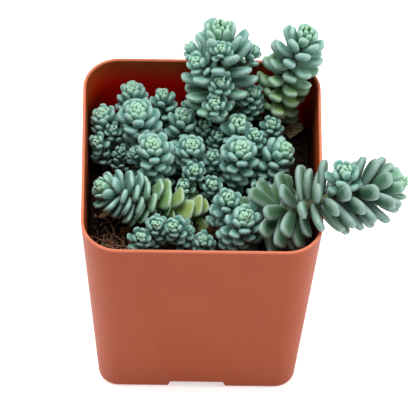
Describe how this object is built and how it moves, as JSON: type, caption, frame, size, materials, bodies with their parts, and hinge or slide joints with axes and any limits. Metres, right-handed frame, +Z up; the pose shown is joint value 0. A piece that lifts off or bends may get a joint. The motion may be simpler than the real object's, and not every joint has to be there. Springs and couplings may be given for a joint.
{
  "type": "potted sedum",
  "caption": "Small square tapered nursery pot filled with soil, holding a clump of low blue-green sedum shoots densely set with plump leaves, one trailing over the rim.",
  "frame": {"origin": "middle of the pot's base, on the surface that it stands on", "axes": "+Z up; -Y the front of the pot; +X right, the side that the longest shoot hangs out over"},
  "size_m": [0.0763, 0.0612, 0.0798],
  "materials": {
    "terracotta_plastic": "moulded satin polypropylene",
    "potting_soil": "loose crumbly peat",
    "sedum_leaf": "fleshy leaf with a matt waxy bloom",
    "bark": "rough",
    "grit": "rough stone"
  },
  "bodies": {
    "root": {"bark_chip": "bark", "grit_1": "grit", "grit_2": "grit", "grit_3": "grit", "pot": "terracotta_plastic", "shoot_back_bud_left": "sedum_leaf", "shoot_back_bud_middle": "sedum_leaf", "shoot_back_bud_right": "sedum_leaf", "shoot_back_left": "sedum_leaf", "shoot_back_left_small": "sedum_leaf", "shoot_back_right": "sedum_leaf", "shoot_back_tall": "sedum_leaf", "shoot_fading": "sedum_leaf", "shoot_front_left": "sedum_leaf", "shoot_front_left_low": "sedum_leaf", "shoot_front_low": "sedum_leaf", "shoot_front_middle": "sedum_leaf", "shoot_front_right": "sedum_leaf", "shoot_front_upright": "sedum_leaf", "shoot_left_big": "sedum_leaf", "shoot_left_corner_bud": "sedum_leaf", "shoot_left_low_bud": "sedum_leaf", "shoot_left_wall": "sedum_leaf", "shoot_left_wall_bud": "sedum_leaf", "shoot_low_bud": "sedum_leaf", "shoot_middle": "sedum_leaf", "shoot_middle_back": "sedum_leaf", "shoot_middle_back_bud": "sedum_leaf", "shoot_middle_bud": "sedum_leaf", "shoot_middle_front_bud": "sedum_leaf", "shoot_middle_left": "sedum_leaf", "shoot_middle_left_bud": "sedum_leaf", "shoot_middle_right": "sedum_leaf", "shoot_right": "sedum_leaf", "shoot_right_back": "sedum_leaf", "shoot_right_back_small": "sedum_leaf", "shoot_right_bud": "sedum_leaf", "shoot_right_low_bud": "sedum_leaf", "shoot_right_low_bud_small": "sedum_leaf", "shoot_trailing_left": "sedum_leaf", "shoot_trailing_right": "sedum_leaf", "soil": "potting_soil"}
  },
  "joints": []
}
